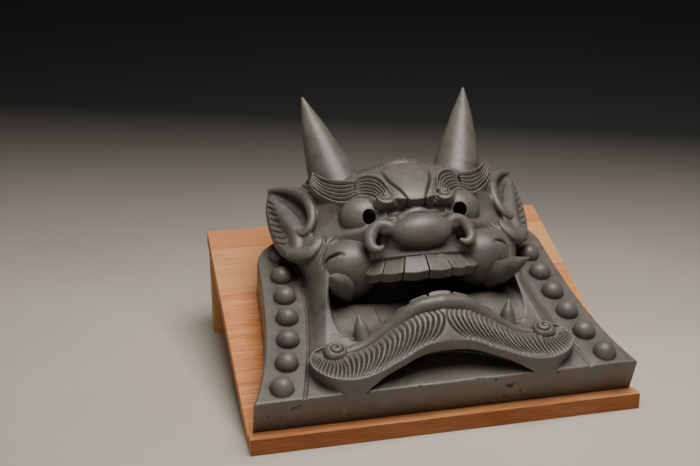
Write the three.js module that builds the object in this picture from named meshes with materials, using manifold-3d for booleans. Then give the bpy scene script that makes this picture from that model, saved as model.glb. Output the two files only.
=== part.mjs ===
// Ridge-end roof tile (onigawara): a horned demon's face on a flared plate with rows of round bosses,
// one piece of smoked clay, shown lying on a sloped wooden stand.
// Millimetres, +Z up, +X to the viewer's right, the foot of the tile towards -Y.
// Origin: the middle of the whole part's footprint, on the ground.
// The tile is worked in its own frame: x across, y up the plate from its foot, h out of the plate's front.

import * as THREE from 'three';
import { mergeVertices } from 'three/addons/utils/BufferGeometryUtils.js';
import Module from 'manifold-3d';

const wasm = await Module();
wasm.setup();

// Driving dimensions: the stand
const stand = {
  incline: THREE.MathUtils.degToRad(19.8),
  width: 306.4,
  boardLength: 241,
  boardThickness: 12,
  boardFrontHeight: 8.6,
  lipHeight: 12.8,
  lipDepth: 11.3,
  supportThickness: 12,
  supportSetback: 8,
};

// Driving dimensions: the plate
const plate = {
  thickness: 33.4,
  waistHalf: 120.5,
  flare: 29.5,
  flareDecay: 62,
  shoulderY: 148,
  shoulderRadius: 33.4,
};
const boss = { count: 7, radius: 8.8, topRadius: 7.2, inset: 17.8, firstY: 12.6, pitch: 24.1 };
const rail = { inset: 34.3, groove: 1.8, topY: 140 };

// Driving dimensions: the head
const skull = { centreY: 162, baseHeight: 8, halfWidth: 84, halfLength: 50, height: 63, power: 2.7 };
const horn = { rootRadius: 23.5, middleRadius: 14.5, tipRadius: 1.2 };
const eye = { halfWidth: 17.5, radius: 14.5, pupilRadius: 5.6, pupilDepth: 14 };
const nose = { halfWidth: 23.5, radius: 14.2, wing: 6 };
const brow = { ridges: 4, scrollRidges: 2, ridge: 2, bulge: 2.5, depth: 9, roll: 8 };
const crown = { locks: 9, lock: 5.6, valley: 4.4, halfWidth: 32 };
const hair = { ridges: 3, ridge: 2, depth: 8 };
const ear = { thickness: 9, hollow: 6.5, strokes: 5, groove: 1.6 };
const teeth = {
  upper: [17, 13.8, 12],
  height: 10.8,
  depth: 8,
  seam: 0.35,
  lower: [8.9, 13, 11, 9],
  lowerRise: 5,
};
const jaw = { upperHalf: 46, lowerHalf: 62, backY: 150 };
const lip = { roll: 5 };
const beard = { strokes: 12, rays: 6, groove: 1.9, crown: 1.6, bow: 0.05 };
const arch = { half: 62, height: 16.5, depth: 30 };
const spiral = { radius: 8.6, height: 5.5, turns: 1.25, groove: 1.2 };

// Clearance between pieces that touch, and how far a joined form sinks into what carries it
const seat = 0.3;
const sink = 3;

const clayColour = 0x55504a;
const woodColour = 0xb9774a;

const at = (x, y, h) => new THREE.Vector3(x, y, h);
const mirror = (point) => at(-point.x, point.y, point.z);
const between = (a, b, share) => a.clone().lerp(b, share);
const steps = (count) => Array.from({ length: count + 1 }, (_, i) => i / count);
const acrossTheMiddle = (points) => [...points.slice(1).reverse().map(mirror), ...points];

// Solids from triangles, and back
function solid(geometry) {
  const bare = geometry.clone();
  bare.deleteAttribute('normal');
  bare.deleteAttribute('uv');
  const merged = mergeVertices(bare, 1e-5);
  const mesh = new wasm.Mesh({
    numProp: 3,
    vertProperties: Float32Array.from(merged.attributes.position.array),
    triVerts: Uint32Array.from(merged.index.array),
  });
  mesh.merge();
  return new wasm.Manifold(mesh);
}

function geometryOf(body) {
  const mesh = body.getMesh();
  const geometry = new THREE.BufferGeometry();
  geometry.setAttribute('position', new THREE.BufferAttribute(mesh.vertProperties, 3));
  geometry.setIndex(new THREE.BufferAttribute(mesh.triVerts, 1));
  return geometry;
}

function mirrored(body) {
  const geometry = geometryOf(body);
  geometry.scale(-1, 1, 1);
  const index = geometry.index.array;
  for (let i = 0; i < index.length; i += 3) {
    [index[i + 1], index[i + 2]] = [index[i + 2], index[i + 1]];
  }
  return solid(geometry);
}

const joined = (bodies) => bodies.reduce((sum, body) => sum.add(body));

// A closed skin over a row of rings, with flat or fanned ends
function loft(rings) {
  const size = rings[0].length;
  const vertices = rings.flat();
  const faces = [];
  for (let r = 0; r < rings.length - 1; r++) {
    for (let i = 0; i < size; i++) {
      const a = r * size + i;
      const b = r * size + ((i + 1) % size);
      faces.push(a, b, a + size, b, b + size, a + size);
    }
  }
  const cap = (ring, first, flip) => {
    const normal = ringNormal(ring);
    const side = Math.abs(normal.z) < 0.9 ? at(0, 0, 1) : at(1, 0, 0);
    const u = side.clone().cross(normal).normalize();
    const v = normal.clone().cross(u);
    const flat = ring.map((point) => new THREE.Vector2(point.dot(u), point.dot(v)));
    for (const [a, b, c] of THREE.ShapeUtils.triangulateShape(flat, [])) {
      faces.push(first + a, first + (flip ? c : b), first + (flip ? b : c));
    }
  };
  cap(rings[0], 0, true);
  cap(rings[rings.length - 1], (rings.length - 1) * size, false);
  const geometry = new THREE.BufferGeometry().setFromPoints(vertices);
  geometry.setIndex(faces);
  return outward(geometry);
}

// The normal of a ring of points, by Newell's sum
function ringNormal(ring) {
  const normal = at(0, 0, 0);
  ring.forEach((point, i) => {
    const next = ring[(i + 1) % ring.length];
    normal.x += (point.y - next.y) * (point.z + next.z);
    normal.y += (point.z - next.z) * (point.x + next.x);
    normal.z += (point.x - next.x) * (point.y + next.y);
  });
  return normal.normalize();
}

// Turns a closed geometry's faces outwards if they point in
function outward(geometry) {
  const position = geometry.attributes.position;
  const index = geometry.index.array;
  let volume = 0;
  const [a, b, c] = [at(0, 0, 0), at(0, 0, 0), at(0, 0, 0)];
  for (let i = 0; i < index.length; i += 3) {
    a.fromBufferAttribute(position, index[i]);
    b.fromBufferAttribute(position, index[i + 1]);
    c.fromBufferAttribute(position, index[i + 2]);
    volume += a.dot(b.cross(c));
  }
  if (volume < 0) {
    for (let i = 0; i < index.length; i += 3) {
      [index[i + 1], index[i + 2]] = [index[i + 2], index[i + 1]];
    }
  }
  return geometry;
}

// A round bar along a smooth curve, its radius read from a list along the way
function bar(points, radii, count = 6, sides = 6) {
  const curve = new THREE.CatmullRomCurve3(points, false, 'centripetal');
  const frames = curve.computeFrenetFrames(count, false);
  const rings = steps(count).map((share, i) => {
    const centre = curve.getPointAt(share);
    const place = share * (radii.length - 1);
    const low = Math.min(Math.floor(place), radii.length - 2);
    const radius = THREE.MathUtils.lerp(radii[low], radii[low + 1], place - low);
    return steps(sides).slice(1).map((turn) => {
      const angle = turn * 2 * Math.PI;
      return centre.clone()
        .addScaledVector(frames.normals[i], radius * Math.cos(angle))
        .addScaledVector(frames.binormals[i], radius * Math.sin(angle));
    });
  });
  return solid(loft(rings));
}

// An ellipsoid, or a boxier one when power is above 2
function ball(centre, radii, power = 2, around = 14, rows = 9) {
  const geometry = new THREE.SphereGeometry(1, around, rows);
  const position = geometry.attributes.position;
  const square = (value) => Math.sign(value) * Math.abs(value) ** (2 / power);
  for (let i = 0; i < position.count; i++) {
    position.setXYZ(i, square(position.getX(i)), square(position.getY(i)), square(position.getZ(i)));
  }
  geometry.scale(...radii);
  geometry.translate(...centre);
  return solid(geometry);
}

// The plate's half width at a height above its foot, and its outline
const halfWidth = (y) => plate.waistHalf + plate.flare * Math.exp(-y / plate.flareDecay);

function plateOutline() {
  const side = steps(8).map((share) => {
    const y = share * plate.shoulderY;
    return new THREE.Vector2(halfWidth(y), y);
  });
  const edge = side[side.length - 1];
  const arc = steps(5).slice(1).map((share) => {
    const angle = share * Math.PI / 2;
    const x = edge.x - plate.shoulderRadius * (1 - Math.cos(angle));
    return new THREE.Vector2(x, plate.shoulderY + plate.shoulderRadius * Math.sin(angle));
  });
  const right = [...side, ...arc];
  const left = right.map((point) => new THREE.Vector2(-point.x, point.y)).reverse();
  return new THREE.Shape([...right, ...left]);
}

function plateBody() {
  const geometry = new THREE.ExtrudeGeometry(plateOutline(), { depth: plate.thickness, bevelEnabled: false });
  geometry.translate(0, 0, -plate.thickness);
  return solid(geometry);
}

function bosses() {
  return steps(boss.count - 1).map((share) => {
    const y = boss.firstY + share * (boss.count - 1) * boss.pitch;
    const radius = share < 1 ? boss.radius : boss.topRadius;
    const profile = [new THREE.Vector2(0, -sink), new THREE.Vector2(radius, -sink)];
    for (const turn of steps(2)) {
      const angle = turn * Math.PI / 2;
      profile.push(new THREE.Vector2(radius * Math.cos(angle), radius * Math.sin(angle)));
    }
    profile[profile.length - 1].x = 0;
    const dome = new THREE.LatheGeometry(profile, 8);
    dome.rotateX(Math.PI / 2);
    dome.translate(halfWidth(y) - boss.inset, y, 0);
    return solid(outward(mergeVertices(dome)));
  });
}

function railGroove() {
  const path = steps(6).map((share) => {
    const y = THREE.MathUtils.lerp(-rail.groove * 2, rail.topY, share);
    return at(halfWidth(Math.max(y, 0)) - rail.inset, y, 0);
  });
  return bar(path, [rail.groove, rail.groove], 5, 3);
}

// The ridge that bounds the mouth at each side and slopes out to the rail
function jawSide() {
  const crest = [
    at(84, 44, 5), at(81, 58, 8), at(77, 76, 12), at(74.5, 92, 18),
    at(72, 106, 27), at(71, 120, 34), at(69, 134, 37), at(66, 150, 30),
  ];
  const rings = crest.map((top) => {
    const outer = Math.max(halfWidth(top.y) - rail.inset - 3, top.x + 5);
    return [
      at(top.x - 14, top.y, -sink),
      at(top.x - 7 - top.z * 0.12, top.y, top.z * 0.45),
      at(top.x - 2, top.y, top.z),
      at(top.x + 2, top.y, top.z - 0.5),
      at(THREE.MathUtils.lerp(top.x, outer, 0.55), top.y, top.z * 0.36),
      at(outer, top.y, 0),
      at(outer, top.y, -sink),
    ];
  });
  return solid(loft(rings));
}

// The upper jaw's overhang, with the lip's edge along its front
const lipEdge = (share) => at(jaw.upperHalf * share, 95.5 + 17 * share * share, 45.5 - 16.5 * share * share);

function upperJaw() {
  const rings = steps(12).map((share) => {
    const edge = lipEdge(2 * share - 1);
    return [
      at(edge.x, jaw.backY, 0),
      at(edge.x, edge.y + 4, 0),
      at(edge.x, edge.y - 1, edge.z - 8),
      at(edge.x, edge.y - 1, edge.z - 1.5),
      at(edge.x, edge.y + 1, edge.z + 0.5),
      at(edge.x, edge.y + 13, edge.z + 2),
      at(edge.x, jaw.backY, edge.z - 6),
    ];
  });
  return solid(loft(rings));
}

function upperTeeth() {
  const bodies = [];
  let start = 0;
  for (const width of teeth.upper) {
    const end = start + width;
    const rings = [start + teeth.seam, (start + end) / 2, end - teeth.seam].map((x, i) => {
      const edge = lipEdge(x / jaw.upperHalf);
      const drop = teeth.height + (i === 1 ? 1.4 : -0.4);
      const front = edge.z - 1.8 + (i === 1 ? 0.9 : -0.3);
      const lean = x / jaw.upperHalf;
      return [
        at(x, edge.y + 3, front - teeth.depth),
        at(x + lean * 4, edge.y - drop, front - teeth.depth - 2),
        at(x + lean * 5, edge.y - drop - 1.6, front - 3.2),
        at(x, edge.y + 3, front),
      ];
    });
    bodies.push(solid(loft(rings)));
    start = end;
  }
  return bodies;
}

// The mouth: a nearly flat floor behind the lower lip that drops away under the upper jaw
function mouthCut() {
  const stations = [
    { y: 46, half: 60, floor: 4, roof: [60, 60] },
    { y: 58, half: 68, floor: 4, roof: [60, 60] },
    { y: 76, half: 70, floor: 3, roof: [60, 60] },
    { y: 90, half: 68, floor: 1, roof: [60, 60] },
    { y: 93, half: 66, floor: 0, roof: [14, 35] },
    { y: 112, half: 58, floor: -13, roof: [10, 30] },
    { y: 122, half: 44, floor: -10, roof: [4, 18] },
  ];
  const rings = stations.map(({ y, half, floor, roof }) => [
    at(-half, y, roof[0]),
    at(-half, y, Math.min(6, roof[0] - 2)),
    at(-half * 0.75, y, floor),
    at(half * 0.75, y, floor),
    at(half, y, Math.min(6, roof[0] - 2)),
    at(half, y, roof[0]),
    at(0, y, roof[1]),
  ]);
  return solid(loft(rings));
}

function bigTusk() {
  const points = [at(60, 96, 8), at(65, 92, 20), at(72, 86, 33), at(80, 79.5, 45.5)];
  return bar(points, [10, 10.5, 6, 0.5], 5, 7);
}

function smallTusk() {
  return bar([at(57, 46, 2), at(59, 52, 12), at(60.6, 60, 22)], [7, 5.5, 0.4], 3, 6);
}

// Horns: cones that swell a little and lean outwards
function hornBody() {
  const axis = [at(49, 178, 38), at(61.5, 219, 68.5), at(71, 251, 93)];
  return bar(axis, [horn.rootRadius, horn.middleRadius, horn.tipRadius], 4, 11);
}

const eyeCentre = at(46, 140.5, 42.5);
const pupil = at(38.2, 134.8, 55);

function eyeBall() {
  return ball(eyeCentre, [eye.halfWidth, eye.radius, eye.radius], 2, 10, 7);
}

function pupilHole() {
  const direction = at(-0.1, -0.2, 1).normalize();
  const low = pupil.clone().addScaledVector(direction, -eye.pupilDepth);
  const high = pupil.clone().addScaledVector(direction, eye.pupilDepth);
  return bar([low, between(low, high, 0.5), high], [eye.pupilRadius, eye.pupilRadius], 2, 12);
}

function eyeSocket() {
  return ball([47, 138, 64], [24, 18, 25], 2, 10, 6);
}

function noseBulb() {
  return ball([0, 112, 54.5], [nose.halfWidth, nose.radius, nose.radius], 2, 12, 8);
}

function noseWing() {
  const scroll = [at(20, 114, 57), at(31, 121, 57), at(40.5, 119, 50), at(41, 110, 43), at(34, 106, 42)];
  return bar(scroll, [nose.wing * 1.1, nose.wing * 1.1, nose.wing, nose.wing * 0.85, nose.wing * 0.55], 7, 6);
}

function cheek() {
  return ball([56, 116, 13], [24, 20, 27], 2, 10, 7);
}

// A swept leaf whose face is folded into ridges that run along it
function ridged(upper, lower, outwards, { ridges, ridge, bulge = 0, depth }, count = 6) {
  const top = new THREE.CatmullRomCurve3(upper);
  const low = new THREE.CatmullRomCurve3(lower);
  const rings = steps(count).map((along) => {
    const [a, b] = [top.getPointAt(along), low.getPointAt(along)];
    const face = steps(2 * ridges).map((share, i) => {
      const crest = i % 2 ? ridge : 0;
      return between(a, b, share).addScaledVector(outwards, bulge * Math.sin(share * Math.PI) + crest);
    });
    return [...face, b.clone().addScaledVector(outwards, -depth), a.clone().addScaledVector(outwards, -depth)];
  });
  return solid(loft(rings));
}

// Inner brow: ridges that sweep over the eye and down into a spiral knob, and a scroll under the knob
const knobCentre = at(24, 138, 68.5);
const browJoint = { top: at(44, 162.5, 68), low: at(44.5, 152.5, 59.5) };

function innerBrow() {
  const over = [browJoint.top, at(34, 166, 73), at(24.5, 160, 73.5), at(20.5, 151, 72.5), at(19.5, 142, 71)];
  const under = [browJoint.low, at(39, 150, 61), at(34, 144.5, 62), at(31.5, 138, 62), at(30, 133, 61)];
  const fan = ridged(over, under, at(0, -0.35, 0.94), brow, 5);
  const around = (reach, h) => [-0.1, -0.3, -0.5, -0.7, -0.86].map((turn) => {
    const angle = turn * Math.PI;
    return at(knobCentre.x + reach * Math.cos(angle), knobCentre.y + reach * Math.sin(angle), h);
  });
  const folds = { ...brow, ridges: brow.scrollRidges, bulge: 1 };
  const scroll = ridged(around(5, 68), around(12.5, 61), at(0, -0.45, 0.9), folds, 4);
  return [fan, scroll, ball(knobCentre, [5.4, 5.4, 6.5], 2, 8, 5)];
}

// Outer brow: a wing of ridges that rises to its tip
function outerBrow() {
  const upper = [browJoint.top, at(54, 168, 68.5), at(65, 174.5, 67), at(75, 184, 64.5)];
  const lower = [browJoint.low, at(54, 153.5, 57), at(66, 163, 56.5), at(75.5, 181, 62.5)];
  return [ridged(upper, lower, at(0.1, -0.3, 0.95), brow, 5)];
}

function browRoll() {
  const path = [at(12, 140, 60), at(30, 150, 60), at(46, 158, 57), at(62, 167, 51), at(73, 179, 54)];
  return bar(path, [brow.roll * 0.6, brow.roll, brow.roll, brow.roll, brow.roll * 0.5], 5, 6);
}

// The forehead's bulged shield with a long tapering cut at each side
function shield() {
  return ball([0, 161, 61], [22.5, 31, 16], 2.4, 10, 7);
}

function foreheadCut() {
  const path = [at(20.7, 175, 71.5), at(17, 155, 73.6), at(6.5, 133, 73)];
  return bar(path, [0.5, 3, 0.5], 4, 4);
}

function bridgeRoll() {
  return bar([at(-12, 128, 58), at(0, 129, 61), at(12, 128, 58)], [3.4, 4.4, 3.4], 4, 7);
}

// The hairline: a notched ridge over the crown between the horns
function crownRidge() {
  const path = steps(6).map((share) => {
    const reach = 2 * share - 1;
    return at(crown.halfWidth * reach, 190 - 3 * reach * reach, 64.5 - 5 * reach * reach);
  });
  const radii = steps(2 * crown.locks).map((share, i) => (i % 2 ? crown.lock : crown.valley));
  return bar(path, radii, 2 * crown.locks, 4);
}

function sideHair() {
  const upper = [at(62, 192, 46), at(74, 195, 46), at(86, 199, 36)];
  const lower = [at(68, 176, 50), at(77, 178, 46), at(86, 180, 38)];
  return ridged(upper, lower, at(0.3, 0.1, 0.95), hair, 4);
}

// Ear: a leaf-shaped shell with a deep inner hollow, a curled inner rim and strokes on the outer flap
function earOutline() {
  const edge = [
    [105.8, 206], [110.5, 188], [111.5, 166], [109.5, 146], [104, 130], [95, 121.5], [85.5, 121.5], [77, 130],
    [75.5, 137], [84, 144], [76, 158], [76, 172], [82, 187], [92, 197],
  ];
  return new THREE.Shape(edge.map(([x, y]) => new THREE.Vector2(x, y)));
}

function earBody() {
  const geometry = new THREE.ExtrudeGeometry(earOutline(), { depth: ear.thickness, bevelEnabled: false });
  const flat = solid(geometry);
  const rimPath = [
    at(103, 203, 6), at(91, 197, 9), at(80, 184, 10), at(76.5, 166, 10),
    at(79, 151, 9), at(86, 145, 8), at(89, 150, 7),
  ];
  const rim = bar(rimPath, [2.5, 4, 4.6, 4.6, 4.2, 3.4, 2.4], 7, 5);
  const root = bar([at(86, 132, 0), at(84, 160, -8), at(92, 188, -4)], [9, 15, 8], 3, 6);
  const hollow = bar(
    [at(101, 197, 10.5), at(92, 184, 10), at(85.5, 168, 9.5), at(85, 156, 10)],
    [2, ear.hollow, ear.hollow * 1.1, 3], 4, 6,
  );
  const strokes = steps(ear.strokes - 1).map((share) => {
    const y = THREE.MathUtils.lerp(194, 143, share);
    const edge = 105.5 + 5 * Math.sin(share * Math.PI * 0.8);
    const length = 7 + 6 * share;
    const path = [at(edge, y + 1, 10), at(edge - length / 2, y - 1, 9.3), at(edge - length, y - 3, 10)];
    return bar(path, [ear.groove, ear.groove], 2, 3);
  });
  let body = joined([flat, rim, root]).subtract(hollow);
  for (const stroke of strokes) body = body.subtract(stroke);
  return placeEar(body);
}

function placeEar(body) {
  const geometry = geometryOf(body);
  geometry.translate(-84, -150, 0);
  geometry.rotateX(THREE.MathUtils.degToRad(5));
  geometry.rotateY(THREE.MathUtils.degToRad(-6));
  geometry.translate(84, 147, 29);
  return solid(geometry);
}

// Beard: a swept slab with a hatched face that tilts down and ends in a fan round a spiral knob
const beardTop = new THREE.CatmullRomCurve3([
  at(0, 40, 37.5), at(20, 42.5, 33.5), at(40, 38.5, 23), at(60, 33, 13.5), at(76, 31.5, 9.6),
]);
const beardFoot = new THREE.CatmullRomCurve3([
  at(0, 18, 26.7), at(20, 15.5, 24), at(40, 8.8, 18.5), at(60, 3.8, 13.5), at(74, 2.8, 12),
]);
const knob = at(83, 34.5, 9.5);
const fan = { from: -1.85, to: 1.15, reach: 20.5 };
const fanStart = at(76, 31.5, 9.6);

const fanEdge = (share) => {
  const angle = THREE.MathUtils.lerp(fan.from, fan.to, share);
  const reach = fan.reach + 10.5 * (1 - share) ** 1.6 - 5 * share ** 2;
  return at(knob.x + reach * Math.cos(angle), knob.y + reach * Math.sin(angle), 12 - share);
};

// A point of the beard's face: along runs 0 to 1 over the sweep and 1 to 2 round the fan
function beardFace(along, down) {
  const top = along <= 1 ? beardTop.getPointAt(Math.max(along, 0)) : between(fanStart, knob, along - 1);
  const foot = along <= 1 ? beardFoot.getPointAt(Math.max(along, 0)) : fanEdge(along - 1);
  return between(top, foot, down);
}

// One section of the beard, a crest or a groove between two locks of hair, bowed towards the middle
function beardSection(along, depth) {
  const shares = [0.12, 0.5, 0.9];
  const face = shares.map((down) => {
    const bow = along < 1 ? beard.bow * Math.sin(down * Math.PI) * Math.min(along * 4, 1) : 0;
    const point = beardFace(along - bow, down);
    point.z += beard.crown * Math.sin(down * Math.PI) - depth;
    return point;
  });
  const top = beardFace(along, 0);
  const foot = beardFace(along, 1);
  const low = foot.clone().setZ(-sink);
  low.y = Math.max(foot.y - 3 * Math.max(1.4 - along, 0), 0.4);
  return [top.clone().setZ(-sink), top, ...face, foot, low];
}

function beardSlab() {
  const sweep = steps(2 * beard.strokes).map((share, i) => ({ along: share, groove: i % 2 && i > 1 }));
  const round = steps(2 * beard.rays).slice(1).map((share, i) => ({ along: 1 + share, groove: i % 2 === 0 }));
  const rings = [...sweep, ...round].map(({ along, groove }) => beardSection(along, groove ? beard.groove : 0));
  const across = [...rings.slice(1).reverse().map((ring) => ring.map(mirror)), ...rings];
  return solid(loft(across));
}

// The hollow under the beard: an arched cave over the plate's foot
function archCut() {
  const rings = steps(8).map((share) => {
    const reach = 2 * share - 1;
    const x = arch.half * reach;
    const roof = 0.6 + arch.height * (1 - reach * reach);
    const depth = 3 + arch.depth * (1 - reach * reach);
    return [
      at(x, -1, -0.4),
      at(x, depth, -0.4),
      at(x, 0.7 * depth, roof),
      at(x, -1, roof),
    ];
  });
  return solid(loft(rings));
}

function spiralKnob() {
  const round = ball([knob.x, knob.y, knob.z], [spiral.radius, spiral.radius, spiral.height], 3, 8, 5);
  const wind = steps(6).map((share) => {
    const angle = share * spiral.turns * 2 * Math.PI;
    const reach = (spiral.radius - 2.2) * (1 - 0.85 * share);
    return at(knob.x + reach * Math.cos(angle), knob.y + reach * Math.sin(angle), knob.z + spiral.height);
  });
  return round.subtract(bar(wind, [spiral.groove, spiral.groove], 6, 3));
}

function lowerLip() {
  const crest = [at(0, 47, 38.5), at(18, 47.5, 35), at(38, 43.5, 22.5), at(58, 38, 11.5), at(76, 35.5, 8.5)];
  const radii = [0.8, 1, 1.15, 1, 0.8].map((share) => share * lip.roll);
  return bar(acrossTheMiddle(crest), radii, 10, 5);
}

// The lower jaw's wall behind the lip, with the teeth along its top
function lowerJaw() {
  const rings = steps(12).map((share) => {
    const reach = 2 * share - 1;
    const x = jaw.lowerHalf * reach;
    const top = Math.max(37 - 30 * reach * reach, 5);
    return [
      at(x, 38, -sink),
      at(x, 40, top - 4),
      at(x, 49, top - 3),
      at(x, 54, -sink),
    ];
  });
  return solid(loft(rings));
}

// The lower teeth: one band behind the lip, with a notch between each two teeth
function lowerTeeth() {
  const places = [];
  let start = -teeth.lower[0];
  for (const width of [2 * teeth.lower[0], ...teeth.lower.slice(1)]) {
    places.push({ x: start, notch: 1.6 }, { x: start + width / 2, notch: 0 });
    start += width;
  }
  const right = [...places.filter(({ x }) => x > 0), { x: start, notch: 1.6 }];
  const left = right.map(({ x, notch }) => ({ x: -x, notch })).reverse();
  const all = [...left, { x: 0, notch: 0 }, ...right];
  const rings = all.map(({ x, notch }) => {
    const top = 40.5 + teeth.lowerRise - 11.5 * (x / 38) ** 2 - notch;
    return [at(x, 44, top - 12), at(x, 48, top - 0.6), at(x, 51.5, top - 0.6), at(x, 54, top - 14)];
  });
  return solid(loft(rings));
}

function tileBody() {
  const head = ball(
    [0, skull.centreY, skull.baseHeight],
    [skull.halfWidth, skull.halfLength, skull.height], skull.power, 18, 12,
  );
  const half = (bodies) => {
    const right = joined(bodies);
    return right.add(mirrored(right));
  };
  let body = joined([plateBody(), head, shield(), upperJaw()]);
  body = body.add(half([jawSide(), cheek()]));
  const sockets = eyeSocket();
  body = body.subtract(sockets).subtract(mirrored(sockets)).subtract(mouthCut());
  const cuts = joined([railGroove(), foreheadCut()]);
  body = body.subtract(cuts).subtract(mirrored(cuts));
  body = body.add(half([
    ...bosses(), hornBody(), eyeBall(), noseWing(), browRoll(), ...innerBrow(), ...outerBrow(), sideHair(),
    earBody(), ...upperTeeth(), bigTusk(), smallTusk(),
  ]));
  body = joined([body, noseBulb(), bridgeRoll(), crownRidge()]);
  body = joined([body, beardSlab(), lowerJaw(), lowerLip(), lowerTeeth()]);
  body = body.subtract(archCut()).add(half([spiralKnob()]));
  const carving = pupilHole();
  body = body.subtract(carving).subtract(mirrored(carving));
  return body.subtract(belowTheBack());
}

// Everything behind the plate's back face
function belowTheBack() {
  const reach = 2 * (plate.waistHalf + plate.flare);
  const block = new THREE.BoxGeometry(2 * reach, 2 * reach, reach);
  block.translate(0, plate.shoulderY, -plate.thickness - reach / 2);
  return solid(block);
}

// The stand's three boards, each an extrusion across the whole width
function acrossTheStand(outline) {
  const shape = new THREE.Shape(outline.map(([y, z]) => new THREE.Vector2(y, z)));
  const geometry = new THREE.ExtrudeGeometry(shape, { depth: stand.width, bevelEnabled: false });
  geometry.rotateX(Math.PI / 2);
  geometry.rotateZ(Math.PI / 2);
  geometry.translate(-stand.width / 2, 0, 0);
  return geometry;
}

const slope = Math.tan(stand.incline);
const alongSlope = [Math.cos(stand.incline), Math.sin(stand.incline)];
const boardFrontY = stand.lipDepth + seat;
const boardBack = [
  boardFrontY + stand.boardLength * alongSlope[0],
  stand.boardFrontHeight + stand.boardLength * alongSlope[1],
];
const undersideHeight = (y) =>
  stand.boardFrontHeight + (y - boardFrontY) * slope - stand.boardThickness / alongSlope[0];

function lipGeometry() {
  return acrossTheStand([[0, 0], [stand.lipDepth, 0], [stand.lipDepth, stand.lipHeight], [0, stand.lipHeight]]);
}

function boardGeometry() {
  const footY = boardFrontY + (stand.boardThickness / alongSlope[0] - stand.boardFrontHeight) / slope;
  const backLowY = boardBack[0] + stand.boardThickness * alongSlope[1];
  const backLowZ = boardBack[1] - stand.boardThickness * alongSlope[0];
  return acrossTheStand([
    [boardFrontY, 0], [footY, 0], [backLowY, backLowZ], boardBack, [boardFrontY, stand.boardFrontHeight],
  ]);
}

function supportGeometry() {
  const backY = boardBack[0] - stand.supportSetback;
  const frontY = backY - stand.supportThickness;
  return acrossTheStand([
    [frontY, 0], [backY, 0], [backY, undersideHeight(backY) - seat], [frontY, undersideHeight(frontY) - seat],
  ]);
}

// The graph of pieces
function piece(name, geometry, colour, roughness) {
  geometry.computeVertexNormals();
  const material = new THREE.MeshStandardMaterial({ color: colour, roughness, metalness: 0 });
  const mesh = new THREE.Mesh(geometry, material);
  mesh.name = name;
  return mesh;
}

const tile = piece('tile', geometryOf(tileBody()), clayColour, 0.55);
const board = piece('stand_board', boardGeometry(), woodColour, 0.6);
const frontLip = piece('stand_lip', lipGeometry(), woodColour, 0.6);
const support = piece('stand_support', supportGeometry(), woodColour, 0.6);

// The tile lies on the board, with its foot against the back edge of the lip
const lipReach = (stand.lipHeight - stand.boardFrontHeight) * alongSlope[1] - seat * alongSlope[0];
const footPlace = Math.max(lipReach, 0) + seat;
const tileSeat = plate.thickness + seat;
const cradle = new THREE.Group();
cradle.rotation.x = stand.incline;
cradle.position.set(
  0,
  boardFrontY + footPlace * alongSlope[0] - tileSeat * alongSlope[1],
  stand.boardFrontHeight + footPlace * alongSlope[1] + tileSeat * alongSlope[0],
);
cradle.add(tile);

const onigawara = new THREE.Group();
onigawara.add(cradle, board, frontLip, support);
const footprint = new THREE.Box3().setFromObject(onigawara, true);
onigawara.position.y = -(footprint.min.y + footprint.max.y) / 2;

export default onigawara;
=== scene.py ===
# Onigawara: a fired clay demon-face roof tile on its sloped wooden stand.
# The tile is carved here from smooth clay forms on a grid; the stand keeps its CAD boards.
# Clay is carved in millimetres in the tile's own frame:
# x to the side, y up along the plate, z out from the plate's front face.

import math

import bmesh
import bpy
import numpy as np
from mathutils import Matrix, Vector


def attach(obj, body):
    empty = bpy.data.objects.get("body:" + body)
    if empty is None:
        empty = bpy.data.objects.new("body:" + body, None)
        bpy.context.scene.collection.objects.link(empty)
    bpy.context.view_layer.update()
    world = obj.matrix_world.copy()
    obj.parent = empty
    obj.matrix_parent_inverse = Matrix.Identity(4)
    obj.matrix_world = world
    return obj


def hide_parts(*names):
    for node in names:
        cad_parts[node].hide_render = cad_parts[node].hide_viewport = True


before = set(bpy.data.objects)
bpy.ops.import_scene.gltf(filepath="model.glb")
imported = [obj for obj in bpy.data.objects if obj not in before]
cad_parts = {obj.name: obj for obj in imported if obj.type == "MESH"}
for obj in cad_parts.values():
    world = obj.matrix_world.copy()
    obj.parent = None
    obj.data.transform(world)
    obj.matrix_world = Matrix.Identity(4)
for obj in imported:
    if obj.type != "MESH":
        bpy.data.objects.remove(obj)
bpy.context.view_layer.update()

# Where the tile lies on its stand, in metres and degrees
INCLINE = 19.8
TILE_FOOT = (0.0, -0.11966, 0.04080)

# Clay grid, in millimetres
CELL = 0.6
GRID_LOW = (0, -3, -36)
GRID_HIGH = (153, 257, 98)
TRIANGLES = 160000
LONGEST_EDGE = 0.010

# Clay sculpting: a signed distance on a grid, negative inside, in millimetres


def smooth_min(a, b, k):
    if k <= 0:
        return np.minimum(a, b)
    h = np.clip(0.5 + 0.5 * (b - a) / k, 0, 1)
    return b + (a - b) * h - k * h * (1 - h)


def smooth_max(a, b, k):
    return -smooth_min(-a, -b, k)


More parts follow.
